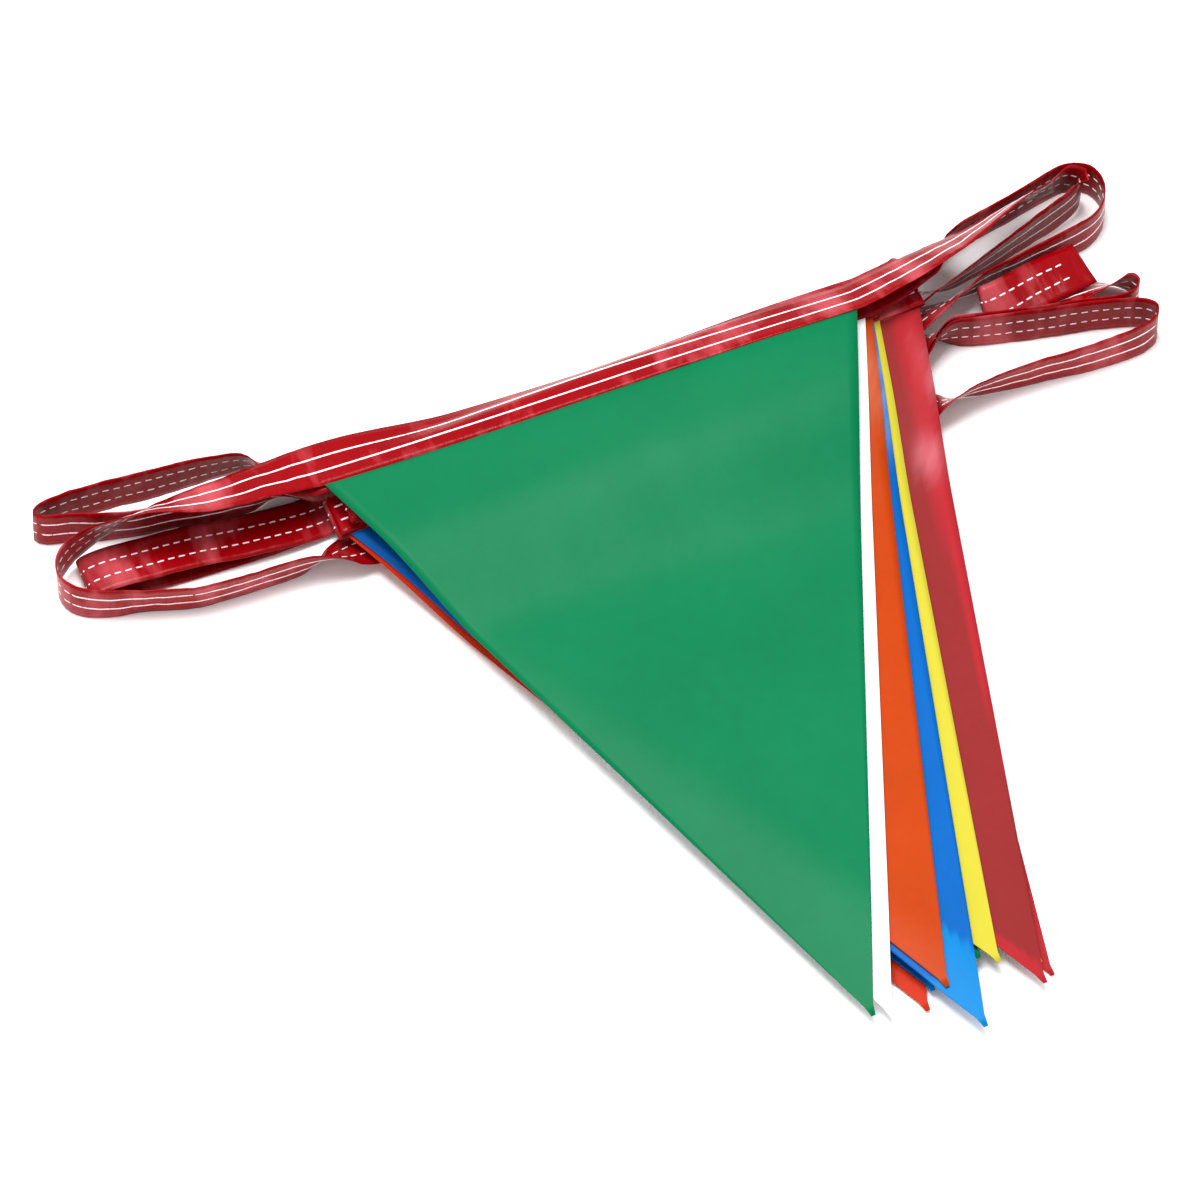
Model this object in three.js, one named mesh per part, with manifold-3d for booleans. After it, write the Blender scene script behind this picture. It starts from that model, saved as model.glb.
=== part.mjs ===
import * as THREE from 'three';
import Module from 'manifold-3d';

// Pennant bunting wound flat: one long header tape and twelve triangular pennants.
// Millimetres, +Z up. The tape runs along X in the stack and the pennants point to -Y.

// Cut sizes of the cloth
const tapeWidth = 19;
const tapeThickness = 1;
const pennantWidth = 228.6;
const pennantLength = 304.8;
const pennantThickness = 1;
const tipHalfWidth = 0.8;
const seat = 0.3;

// Heights in the stack, measured at mid-thickness
const floorSheet = 0.5;
const underStack = 6.9;
const layerPitch = 1.3;
const tapePitch = 1.56;
const shelfFrom = -100;
const shelfTo = -46;
const spreadFrom = 14;
const spreadTo = 60;
const foldMargin = 2.2;
const foldRound = 0.9;
const passReach = 109;

// How far the top pass leans up toward its right end, in degrees, and where the film under it
// comes down again
const leanMost = 25;
const leanFrom = -90;
const leanTo = 100;
const liftFrom = -24;
const liftTo = -120;

// How finely the sheets are divided
const latticeStep = 24;
const edgeSteps = 8;
const cutterHeight = 60;
const longestStep = 40;
const stepAngle = 24;

// Pennants from the top of the stack down: x and y of the top edge's centre, its turn in
// degrees, and where the tip lies
const pennants = [
  { name: 'pennant_01_green', colour: 0x21996a, x: -1.9, y: -2.2, turn: -0.6, tipX: -0.3, tipY: -300 },
  { name: 'pennant_02_white', colour: 0xf4f4f4, x: 2, y: -2.5, turn: 0.3, tipX: 6, tipY: -302.5 },
  { name: 'pennant_03_orange', colour: 0xeb5a1e, x: 4, y: -9.7, turn: 4, tipX: 28.7, tipY: -300 },
  { name: 'pennant_04_blue', colour: 0x0082e1, x: 4.5, y: -9.7, turn: 4, tipX: 35.7, tipY: -320 },
  { name: 'pennant_05_yellow', colour: 0xfff555, x: 7, y: -9.5, turn: 4, tipX: 50.7, tipY: -296.5 },
  { name: 'pennant_06_red', colour: 0xae3c3c, x: 24, y: -8.3, turn: 4, tipX: 63.5, tipY: -309.5 },
  { name: 'pennant_07_green', colour: 0x21996a, x: 8, y: -9.4, turn: 4, tipX: 45, tipY: -291 },
  { name: 'pennant_08_white', colour: 0xf4f4f4, x: 14, y: -9, turn: 4, tipX: 65, tipY: -300.5 },
  { name: 'pennant_09_blue', colour: 0x0082e1, x: 0.5, y: -9.95, turn: 4, tipX: 25, tipY: -296 },
  { name: 'pennant_10_orange', colour: 0xff4628, x: -0.5, y: -10.02, turn: 4, tipX: 20.6, tipY: -302 },
  { name: 'pennant_11_yellow', colour: 0xfff555, x: 12, y: -9.2, turn: 4, tipX: 66.5, tipY: -298 },
  { name: 'pennant_12_red', colour: 0xae3c3c, x: 12, y: -9.2, turn: 4, tipX: 69, tipY: -304 },
];

const wasm = await Module();
wasm.setup();
const { Manifold, Mesh } = wasm;
const radians = THREE.MathUtils.degToRad;
const smooth = (value, from, to) => THREE.MathUtils.smoothstep(value, from, to);

// Where a pennant's top edge, corners and centre line lie, seen from above
function outline(row) {
  const along = new THREE.Vector2(Math.cos(radians(row.turn)), Math.sin(radians(row.turn)));
  const down = new THREE.Vector2(along.y, -along.x);
  const top = new THREE.Vector2(row.x, row.y);
  const start = top.clone().addScaledVector(down, tapeWidth + seat);
  const tip = new THREE.Vector2(row.tipX, row.tipY);
  const reach = start.distanceTo(tip);
  const lean = tip.clone().sub(start).addScaledVector(down, -reach);
  const half = (pennantWidth / 2) * (1 - (tapeWidth + seat) / pennantLength);
  return { along, down, top, start, tip, reach, lean, half };
}

const outlines = pennants.map(outline);

// Point of a pennant: u runs from -1 at the left edge to 1 at the right, v from tape to tip
function pennantPoint(shape, u, v) {
  const centre = shape.start.clone().addScaledVector(shape.down, shape.reach * v);
  centre.addScaledVector(shape.lean, v);
  const half = Math.max(shape.half * (1 - v), tipHalfWidth);
  return centre.addScaledVector(shape.along, half * u);
}

// How far a point lies outside a pennant and its length of tape, below zero when inside
function distanceOutside(shape, x, y) {
  const dx = x - shape.top.x;
  const dy = y - shape.top.y;
  const across = dx * shape.along.x + dy * shape.along.y;
  const below = dx * shape.down.x + dy * shape.down.y;
  const v = THREE.MathUtils.clamp((below - tapeWidth) / shape.reach, 0, 1);
  const drift = (shape.lean.x * shape.along.x + shape.lean.y * shape.along.y) * v;
  const sides = Math.abs(across - drift) - shape.half * (1 - v) - (v > 0 ? 0 : tapeWidth / 4);
  const ends = Math.max(-below, below - tapeWidth - shape.reach);
  return Math.max(sides * 0.92, ends);
}

// Height of layer k: the shelf that the tape makes, and one step for each sheet beneath
function layerHeight(k, x, y) {
  const shelf = smooth(y, shelfFrom, shelfTo);
  const pitch = layerPitch + (tapePitch - layerPitch) * shelf;
  let height = floorSheet + underStack * shelf;
  for (let j = k + 1; j < outlines.length; j += 1) {
    const outside = smooth(distanceOutside(outlines[j], x, y), spreadFrom, spreadTo);
    height += pitch * (1 - outside * (1 - shelf));
  }
  return height;
}

// How far the tape over a pennant leans, only on the top one
const leanAt = (k, x) => (k === 0 ? radians(leanMost) * smooth(x, leanFrom, leanTo) : 0);

// How far the leaning tape lifts a pennant's film
function liftAt(k, x, y) {
  return tapeWidth * Math.sin(leanAt(k, x)) * smooth(y, liftTo, liftFrom);
}

// Closed sheet over a grid of points with the given thickness direction at each point
function closedSheet(grid, offsets) {
  const rows = grid.length;
  const columns = grid[0].length;
  const positions = [];
  for (const sign of [1, -1]) {
    for (let i = 0; i < rows; i += 1) {
      for (let j = 0; j < columns; j += 1) {
        const point = grid[i][j].clone().addScaledVector(offsets[i][j], sign);
        positions.push(point.x, point.y, point.z);
      }
    }
  }
  const index = [];
  const back = rows * columns;
  const at = (i, j) => i * columns + j;
  const quad = (a, b, c, d) => index.push(a, b, c, a, c, d);
  for (let i = 0; i < rows - 1; i += 1) {
    for (let j = 0; j < columns - 1; j += 1) {
      quad(at(i, j), at(i, j + 1), at(i + 1, j + 1), at(i + 1, j));
      quad(back + at(i, j), back + at(i + 1, j), back + at(i + 1, j + 1), back + at(i, j + 1));
    }
  }
  const rim = [];
  for (let j = 0; j < columns - 1; j += 1) rim.push(at(0, j));
  for (let i = 0; i < rows - 1; i += 1) rim.push(at(i, columns - 1));
  for (let j = columns - 1; j > 0; j -= 1) rim.push(at(rows - 1, j));
  for (let i = rows - 1; i > 0; i -= 1) rim.push(at(i, 0));
  rim.forEach((a, n) => {
    const b = rim[(n + 1) % rim.length];
    quad(b, a, back + a, back + b);
  });
  const geometry = new THREE.BufferGeometry();
  geometry.setAttribute('position', new THREE.Float32BufferAttribute(positions, 3));
  geometry.setIndex(index);
  geometry.computeVertexNormals();
  return geometry;
}

// Upright block with a pennant's outline, which cuts the pennant out of its layer
function cutter(k) {
  const shape = outlines[k];
  const ring = [];
  for (let i = 0; i <= edgeSteps; i += 1) ring.push(pennantPoint(shape, -1, i / edgeSteps));
  for (let i = edgeSteps; i >= 0; i -= 1) ring.push(pennantPoint(shape, 1, i / edgeSteps));
  return Manifold.extrude([ring.map((point) => [point.x, point.y])], cutterHeight).translate(0, 0, -5);
}

// Layer over one lattice that all the pennants share, so that no two of them can meet
function layerSheet(k) {
  const shape = outlines[k];
  const fromX = Math.floor((shape.top.x - shape.half - 15) / latticeStep);
  const toX = Math.ceil((shape.top.x + shape.half + 15) / latticeStep);
  const fromY = Math.floor((shape.tip.y - 5) / latticeStep);
  const toY = Math.ceil(5 / latticeStep);
  const grid = [];
  for (let j = toY; j >= fromY; j -= 1) {
    const points = [];
    for (let i = toX; i >= fromX; i -= 1) {
      const x = i * latticeStep;
      const y = j * latticeStep;
      points.push(new THREE.Vector3(x, y, layerHeight(k, x, y) + liftAt(k, x, y)));
    }
    grid.push(points);
  }
  const offsets = grid.map((points) => points.map(() => new THREE.Vector3(0, 0, pennantThickness / 2)));
  return closedSheet(grid, offsets);
}

function toSolid(geometry) {
  const vertProperties = new Float32Array(geometry.attributes.position.array);
  const triVerts = new Uint32Array(geometry.index.array);
  return new Manifold(new Mesh({ numProp: 3, vertProperties, triVerts }));
}

function pennantGeometry(k) {
  const mesh = Manifold.intersection(toSolid(layerSheet(k)), cutter(k)).getMesh();
  const geometry = new THREE.BufferGeometry();
  geometry.setAttribute('position', new THREE.Float32BufferAttribute(mesh.vertProperties, 3));
  geometry.setIndex(Array.from(mesh.triVerts));
  geometry.computeVertexNormals();
  return geometry;
}

// Station of the tape: its centre, and the rise of its pennant edge in degrees, 0 where the
// tape lies flat with that edge to the front and 90 where it stands with that edge on top
const station = (x, y, z, rise) => ({ x, y, z, rise });

// Station on a pennant's top edge, the given distance along from its centre
function passStation(k, along) {
  const shape = outlines[k];
  const point = shape.top.clone().addScaledVector(shape.down, tapeWidth / 2);
  point.addScaledVector(shape.along, along);
  const lean = leanAt(k, point.x);
  const half = tapeWidth / 2;
  const back = (tapeThickness / 2) * Math.sin(lean) - half * (1 - Math.cos(lean));
  const height = layerHeight(k, shape.top.x, -20) + half * Math.sin(lean);
  return station(point.x, point.y + back, height, THREE.MathUtils.radToDeg(lean));
}

// Tape along a pennant's top edge from one x to another
function pennantPass(k, fromX, toX) {
  const start = fromX - outlines[k].top.x;
  const end = toX - outlines[k].top.x;
  const ease = Math.sign(end - start);
  const stops = [start, start + ease * 1.5, start + ease * 9];
  for (const part of [0.3, 0.5, 0.7]) stops.push(start + (end - start) * part);
  stops.push(end - ease * 9, end - ease * 1.5, end);
  return stops.map((along) => passStation(k, along));
}

// Where the folded part of the tape turns back, just outside the pennants on either side
const foldEnd = (k, side) => {
  const shapes = outlines.slice(k, k + 2);
  const ends = shapes.map((shape) => side * shape.top.x + shape.half + foldMargin);
  return side * Math.max(...ends);
};

const turnBack = (from, to, side) => [
  station(from.x + side * foldRound * 0.6, from.y, from.z - (from.z - to.z) * 0.2, 0),
  station((from.x + to.x) / 2 + side * foldRound, (from.y + to.y) / 2, (from.z + to.z) / 2, 0),
  station(to.x + side * foldRound * 0.6, to.y, to.z + (from.z - to.z) * 0.2, 0),
];

// Tape laid back and forth through the hidden pennants, from the third down to the last
function foldedTape() {
  const rows = [];
  let x = -(outlines[2].half + foldMargin) + outlines[2].top.x;
  for (let k = 2; k < pennants.length; k += 1) {
    const side = k % 2 === 0 ? 1 : -1;
    const endX = foldEnd(k, side);
    rows.push(...pennantPass(k, x, endX));
    if (k + 1 < pennants.length) {
      const from = rows[rows.length - 1];
      const to = pennantPass(k + 1, endX, 0)[0];
      rows.push(...turnBack(from, to, side));
    }
    x = endX;
  }
  return rows;
}

// The parts of the tape outside the pennants: x, y, z of the tape's centre and its rise
const tapeRuns = {
  underToFront: [
    [-97.8, -26.4, 7.1, 0], [-98, -26.4, 6.7, 0], [-97.8, -26.4, 6.3, 0], [-97.2, -26.4, 6, 0],
    [-95, -26.3, 6, 0], [-85, -26.2, 6, 0], [-60, -28, 6, 0], [-20, -38, 5.9, 0], [5, -46, 5.5, -3],
    [20, -51, 4.7, -3], [35, -54.5, 3.6, 0], [50, -56, 2.4, 0], [85, -56.2, 1.3, 0],
    [100, -56, 1.2, 0],
  ],
  frontLoop: [
    [109, -56.5, 1.3, 1], [114.5, -56.8, 1.9, 4], [120.5, -57.4, 4.4, 22], [127.5, -58.2, 7.7, 48],
    [136, -58, 8.9, 64],
    [150, -58.4, 9.5, 76], [166, -59.2, 9.7, 82], [182, -60.2, 9.8, 86], [199, -60.5, 9.9, 90],
    [209, -59.3, 9.9, 90], [215, -56.5, 9.9, 90], [217, -52.8, 9.9, 90], [215, -49.6, 9.9, 90],
    [209, -46.5, 9.9, 90], [194, -42.3, 9.9, 90], [179, -39.7, 9.9, 90], [164, -36.5, 9.9, 90],
    [149, -33, 9.9, 89], [142, -30.9, 9.8, 84], [135, -30.5, 8.6, 60], [128, -31.6, 5.9, 35],
    [120, -33.1, 2.6, 12], [110, -33.8, 0.9, 3],
  ],
  underToLeft: [
    [100, -34, 0.6, 1], [85, -33.5, 0.5, 0], [40, -30, 0.5, 0], [-40, -18, 0.5, 0],
    [-90, -15.5, 0.5, 0],
  ],
  flatLoop: [
    [-101, -16, 0.5, 0], [-131, -17.7, 0.6, 0], [-163, -17.7, 1, 0], [-185, -16.9, 1.3, 0],
    [-197, -16.6, 2.2, 0], [-203, -16.6, 3.8, 0], [-205, -16.6, 6, 0], [-203, -16.6, 8.2, 0],
    [-197, -16.6, 9.5, 0], [-179, -17.2, 9.2, 0], [-163, -17.6, 8.4, 0], [-147, -18.6, 6.6, 0],
    [-131, -19.2, 5, 0], [-118, -19, 3.4, 0], [-108, -17.8, 2.4, 0], [-98, -16.2, 1.9, 0],
  ],
  underToBack: [
    [-60, -14, 1.9, 0], [-40, -12.3, 1.9, 0], [-22, -11, 2.6, 0], [-5, -10, 4, 0],
    [10, -9, 4.65, 0], [40, -8.3, 4.65, 0], [85, -8.2, 4.65, 0],
  ],
  backLoop: [
    [100, -8.2, 4.8, 0], [112, -8.4, 5.2, 0], [119, -8.6, 5.6, 0], [123, -8.8, 6.1, 2],
    [128, -9.2, 7.3, 14], [134, -9.7, 8.5, 34], [140, -9.9, 9.3, 51], [148, -9.6, 10, 66], [164, -5.3, 10, 77],
    [187, 1.6, 11, 86], [203, 6.6, 12, 90], [210, 10.2, 13, 90], [212.3, 13.8, 15, 90],
    [207, 16, 17.5, 82], [196, 12, 21.5, 68], [181, 7, 25.4, 57], [162, -1, 28, 45],
    [142, -6.8, 29, 34], [124, -10.6, 28.9, 27],
  ],
  overLoop: [
    [-128, -11, 26, 12], [-155, -12, 28.2, 25], [-174, -9.7, 29, 48], [-182, -8.5, 26.8, 58],
    [-190, -6.5, 22.5, 68], [-198, -5.2, 17.4, 78], [-207, -6.8, 13, 86], [-213.2, -11.8, 11.5, 90],
    [-215, -18, 10.5, 90], [-212.5, -24.5, 10, 90], [-205, -30, 9.8, 88], [-185, -36, 9.6, 80],
    [-167, -41, 9.5, 79], [-136, -42, 9.4, 77], [-124, -41.9, 9.2, 72], [-115, -41.2, 7.9, 50],
    [-108, -40, 5.9, 24], [-101, -39, 4.8, 6], [-93, -38.4, 4.65, 0],
  ],
  underToMiddle: [
    [-80, -38, 4.65, 0], [-20, -36, 4.65, 0], [20, -29, 3.4, 0], [60, -23, 3.3, 0],
    [88, -20.8, 3.3, 0],
  ],
  wideLoop: [
    [100, -20.4, 3.3, 0], [112, -20.3, 3.6, 1], [120, -20.2, 4.5, 4], [124, -20, 5.3, 11],
    [129, -19.4, 6.9, 26],
    [134, -18.7, 8.2, 36], [141, -17.4, 9.3, 47], [149, -15.6, 9.9, 59], [160, -12.8, 9.9, 74],
    [168, -11.8, 9.9, 80], [186, -9.4, 9.9, 86], [203, -7, 9.9, 90], [211, -4.5, 9.9, 90],
    [217, 0.5, 9.9, 90], [220, 7, 9.9, 90], [220, 13.5, 9.9, 90], [216.5, 19, 9.9, 90],
    [209, 21.3, 9.9, 90], [198, 19.2, 9.9, 89], [183, 15.5, 9.9, 88], [168, 12, 9.9, 87],
    [158, 9.8, 9.9, 84], [150, 7.2, 10.3, 69], [142, 0.8, 16.4, 43], [134, -5, 22, 18],
    [124, -9, 23, 4],
  ],
  farLoop: [
    [-111, -12.2, 22.3, 1], [-116, -9.4, 20.2, 14], [-123, 0.4, 16, 38], [-131, 7, 14.6, 72],
    [-150, 9.4, 15, 85], [-168, 11.7, 13, 90], [-187, 14, 11.5, 90], [-203, 14.8, 10.8, 90],
    [-212, 13.8, 10.2, 90], [-215, 11.2, 10, 90], [-211, 8.2, 9.9, 90], [-202, 5.8, 9.9, 90], [-191, 1.8, 9.9, 88],
    [-178, -1.3, 9.8, 86], [-166, -2.6, 9.8, 85], [-155, -4.7, 9.8, 85], [-140, -6.4, 9.8, 84],
    [-130, -7.8, 9.5, 72], [-121, -8, 7.6, 44], [-113, -7, 5, 17], [-104, -6.3, 3.5, 2],
    [-95, -7, 3.3, 0],
  ],
  underToEnd: [
    [-70, -14, 3.3, 0], [-40, -30, 3.5, 0], [-24, -33.4, 3.3, 0], [-5, -34.5, 2.2, 0],
    [10, -34.5, 1.95, 0],
    [85, -34, 1.95, 0],
  ],
  shortLoop: [
    [100, -34, 2.1, 1], [110, -33.4, 2.3, 3], [120, -32.3, 4.3, 13], [128, -30, 7.6, 36],
    [135, -28.5, 9.7, 60], [142, -28.9, 10, 84], [149, -31.3, 10, 89], [164, -34.9, 10, 90],
    [179, -38.1, 9.95, 90], [194, -40.8, 9.95, 90], [205, -43.2, 9.9, 90], [211.5, -43, 9.9, 90],
    [215, -39.5, 9.9, 90], [214, -34.5, 9.6, 74], [207, -31, 8.6, 53], [195, -28.3, 7.2, 32],
    [184, -27, 5.6, 15], [174, -25.5, 4.6, -8], [166, -24, 5.6, -26], [160, -23.2, 6.3, -37],
    [157, -23.9, 7.5, -38],
  ],
  cutEnd: [
    [160, -25, 8.7, -38], [168, -24.6, 10.2, -28], [178, -22.8, 11.2, -17],
    [188, -21.3, 11.5, -12], [201, -19.2, 11, -6],
  ],
};

function tapeStations() {
  const run = (name) => tapeRuns[name].map((row) => station(...row));
  const topPass = (k) => pennantPass(k, outlines[k].top.x + passReach, outlines[k].top.x - passReach);
  return [
    ...foldedTape(),
    ...run('underToFront'),
    ...run('frontLoop'),
    ...run('underToLeft'),
    ...run('flatLoop'),
    ...run('underToBack'),
    ...run('backLoop'),
    ...topPass(0),
    ...run('overLoop'),
    ...run('underToMiddle'),
    ...run('wideLoop'),
    ...topPass(1),
    ...run('farLoop'),
    ...run('underToEnd'),
    ...run('shortLoop'),
    ...run('cutEnd'),
  ];
}

// Ribbon through the stations
function ribbonGeometry(rows) {
  const curve = new THREE.CatmullRomCurve3(rows.map((row) => new THREE.Vector3(row.x, row.y, row.z)));
  const spans = rows.length - 1;
  const riseAt = (i, f) => {
    const before = rows[Math.max(i - 1, 0)].rise;
    const from = rows[i].rise;
    const to = rows[i + 1].rise;
    const after = rows[Math.min(i + 2, spans)].rise;
    const startSlope = (to - before) / 2;
    const endSlope = (after - from) / 2;
    const f2 = f * f;
    const f3 = f2 * f;
    return (2 * f3 - 3 * f2 + 1) * from + (f3 - 2 * f2 + f) * startSlope
      + (3 * f2 - 2 * f3) * to + (f3 - f2) * endSlope;
  };
  const grid = [];
  const offsets = [];
  const addSection = (i, f) => {
    const t = (i + f) / spans;
    const centre = curve.getPoint(t);
    const heading = curve.getTangent(t);
    const rise = radians(riseAt(i, f));
    const edge = new THREE.Vector3(0, -Math.cos(rise), Math.sin(rise));
    edge.addScaledVector(heading, -edge.dot(heading)).normalize();
    const face = new THREE.Vector3().crossVectors(heading, edge);
    const lowest = (tapeWidth * Math.abs(edge.z) + tapeThickness * Math.abs(face.z)) / 2;
    centre.z = Math.max(centre.z, lowest);
    const half = tapeWidth / 2;
    grid.push([1, -1].map((side) => centre.clone().addScaledVector(edge, side * half)));
    offsets.push([0, 1].map(() => face.clone().multiplyScalar(tapeThickness / 2)));
  };
  for (let i = 0; i < spans; i += 1) {
    const length = new THREE.Vector3(rows[i].x, rows[i].y, rows[i].z)
      .distanceTo(new THREE.Vector3(rows[i + 1].x, rows[i + 1].y, rows[i + 1].z));
    const bendAngle = curve.getTangent(i / spans).angleTo(curve.getTangent((i + 1) / spans));
    const twist = Math.abs(rows[i + 1].rise - rows[i].rise);
    const steps = Math.ceil(Math.max(
      length / longestStep,
      THREE.MathUtils.radToDeg(bendAngle) / stepAngle,
      twist / stepAngle,
      1,
    ));
    for (let n = 0; n < steps; n += 1) addSection(i, n / steps);
  }
  addSection(spans - 1, 1);
  return closedSheet(grid, offsets);
}

const bunting = new THREE.Group();
const addMesh = (name, geometry, colour, roughness) => {
  const material = new THREE.MeshStandardMaterial({ color: colour, roughness, metalness: 0 });
  const mesh = new THREE.Mesh(geometry, material);
  mesh.name = name;
  bunting.add(mesh);
};

// Origin at the middle of the underside
function centreOnFloor(group) {
  const box = new THREE.Box3().setFromObject(group, true);
  const middle = box.getCenter(new THREE.Vector3());
  group.children.forEach((mesh) => mesh.geometry.translate(-middle.x, -middle.y, -box.min.z));
}

addMesh('header_tape', ribbonGeometry(tapeStations()), 0xb00f22, 0.3);
pennants.forEach((row, k) => addMesh(row.name, pennantGeometry(k), row.colour, 0.45));
centreOnFloor(bunting);

export default bunting;
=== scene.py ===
import bpy
import math
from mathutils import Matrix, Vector, noise


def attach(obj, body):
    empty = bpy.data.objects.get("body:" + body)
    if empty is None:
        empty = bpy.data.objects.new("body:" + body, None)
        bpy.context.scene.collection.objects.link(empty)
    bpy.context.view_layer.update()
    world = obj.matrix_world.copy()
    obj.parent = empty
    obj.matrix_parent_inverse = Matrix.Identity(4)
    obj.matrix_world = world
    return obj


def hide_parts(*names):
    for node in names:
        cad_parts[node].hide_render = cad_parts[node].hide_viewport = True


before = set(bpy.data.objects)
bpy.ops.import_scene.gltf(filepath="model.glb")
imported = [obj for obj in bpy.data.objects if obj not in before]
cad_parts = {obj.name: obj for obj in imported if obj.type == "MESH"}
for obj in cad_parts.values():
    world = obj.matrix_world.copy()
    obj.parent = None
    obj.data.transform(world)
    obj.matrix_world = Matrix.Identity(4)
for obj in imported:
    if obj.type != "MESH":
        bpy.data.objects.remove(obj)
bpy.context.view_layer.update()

mm = 0.001
# The bundle's middle in mm, seen from the point that the tables below are measured from
middle = Vector((2.672, -149.128, 0.0))


def smooth(value, low, high):
    t = min(max((value - low) / (high - low), 0.0), 1.0)
    return t * t * (3 - 2 * t)


# Shader helpers


def newGroup(name, inputs, outputs):
    group = bpy.data.node_groups.new(name, "ShaderNodeTree")
    for label, kind, value in inputs:
        socket = group.interface.new_socket(name=label, in_out="INPUT", socket_type=kind)
        socket.default_value = value
    for label, kind in outputs:
        group.interface.new_socket(name=label, in_out="OUTPUT", socket_type=kind)
    return group, group.nodes.new("NodeGroupInput"), group.nodes.new("NodeGroupOutput")


def addNode(tree, kind, **values):
    made = tree.nodes.new(kind)
    for label, value in values.items():
        made.inputs[label].default_value = value
    return made


def mathNode(tree, operation, first, second):
    made = tree.nodes.new("ShaderNodeMath")
    made.operation = operation
    for socket, value in zip(made.inputs, (first, second)):
        if isinstance(value, (int, float)):
            socket.default_value = value
        else:
            tree.links.new(value, socket)
    return made.outputs[0]


def attributeNode(tree, name):
    made = tree.nodes.new("ShaderNodeAttribute")
    made.attribute_name = name
    return made


def mixColours(tree, factor, first, second):
    mix = tree.nodes.new("ShaderNodeMix")
    mix.data_type = "RGBA"
    for label, colour in (("A", first), ("B", second)):
        if isinstance(colour, tuple):
            mix.inputs[label].default_value = colour
        else:
            tree.links.new(colour, mix.inputs[label])
    tree.links.new(factor, mix.inputs["Factor"])
    return mix.outputs["Result"]


mottling = {
    "fineScale": 9.0,
    "broadShare": 0.7,
    "fineShare": 0.3,
}


def mottleGroup():
    # soft cloudy change of shade, as thin film shows
    group, given, result = newGroup(
        "filmMottle",
        [("Scale", "NodeSocketFloat", 40.0), ("Strength", "NodeSocketFloat", 0.2)],
        [("Shade", "NodeSocketFloat"), ("Height", "NodeSocketFloat")],
    )
    place = addNode(group, "ShaderNodeTexCoord")
    broad = addNode(group, "ShaderNodeTexNoise", Detail=3.0, Roughness=0.55)
    fine = addNode(group, "ShaderNodeTexNoise", Detail=4.0, Roughness=0.6)
    group.links.new(place.outputs["Object"], broad.inputs["Vector"])
    group.links.new(place.outputs["Object"], fine.inputs["Vector"])
    group.links.new(given.outputs["Scale"], broad.inputs["Scale"])
    fineScale = mathNode(group, "MULTIPLY", given.outputs["Scale"], mottling["fineScale"])
    group.links.new(fineScale, fine.inputs["Scale"])
    broadPart = mathNode(group, "MULTIPLY", broad.outputs[0], mottling["broadShare"])
    finePart = mathNode(group, "MULTIPLY", fine.outputs[0], mottling["fineShare"])
    both = mathNode(group, "ADD", broadPart, finePart)
    centred = mathNode(group, "SUBTRACT", both, 0.5)
    shade = mathNode(group, "ADD", mathNode(group, "MULTIPLY", centred, given.outputs["Strength"]), 1.0)
    group.links.new(shade, result.inputs["Shade"])
    group.links.new(both, result.inputs["Height"])
    return group


filmMottle = mottleGroup()


def mottledBy(tree, scale, strength):
    mottle = tree.nodes.new("ShaderNodeGroup")
    mottle.node_tree = filmMottle
    mottle.inputs["Scale"].default_value = scale
    mottle.inputs["Strength"].default_value = strength
    return mottle


def principled(name, roughness, specular, coat=0.0, coatRoughness=0.1):
    material = bpy.data.materials.new(name)
    material.use_nodes = True
    shader = material.node_tree.nodes["Principled BSDF"]
    shader.inputs["Roughness"].default_value = roughness
    shader.inputs["Specular IOR Level"].default_value = specular
    shader.inputs["Coat Weight"].default_value = coat
    shader.inputs["Coat Roughness"].default_value = coatRoughness
    return material, material.node_tree, shader


def linear(colour):
    # screen colour, 0 to 255, as the light that it stands for
    darkest = 10.3
    parts = [c / 255 / 12.92 if c < darkest else ((c / 255 + 0.055) / 1.055) ** 2.4 for c in colour]
    return (*parts, 1.0)


def scaledColour(tree, colour, factor):
    # colour times a shade that changes over the surface
    scaled = tree.nodes.new("ShaderNodeVectorMath")
    scaled.operation = "SCALE"
    if isinstance(colour, tuple):
        scaled.inputs[0].default_value = colour[:3]
    else:
        tree.links.new(colour, scaled.inputs[0])
    tree.links.new(factor, scaled.inputs["Scale"])
    return scaled.outputs[0]


def bumpInto(tree, shader, height, strength, distance):
    bump = tree.nodes.new("ShaderNodeBump")
    bump.inputs["Strength"].default_value = strength
    bump.inputs["Distance"].default_value = distance
    tree.links.new(height, bump.inputs["Height"])
    tree.links.new(bump.outputs[0], shader.inputs["Normal"])


# Pennants of coloured film

filmSurface = {
    "roughness": 0.42,
    "specular": 0.07,
    "mottleScale": 30.0,
    "mottleStrength": 0.35,
    "bumpStrength": 0.25,
    "bumpDepth": 0.0008,
    # the streak settings shape the painted sheen, a painted highlight
    "streakAngle": 54,
    "streakSize": (0.05, 0.008, 0.05),
    "streakFrom": 0.42,
    "streakTo": 0.66,
    "betweenStreaks": 0.25,
}


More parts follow.
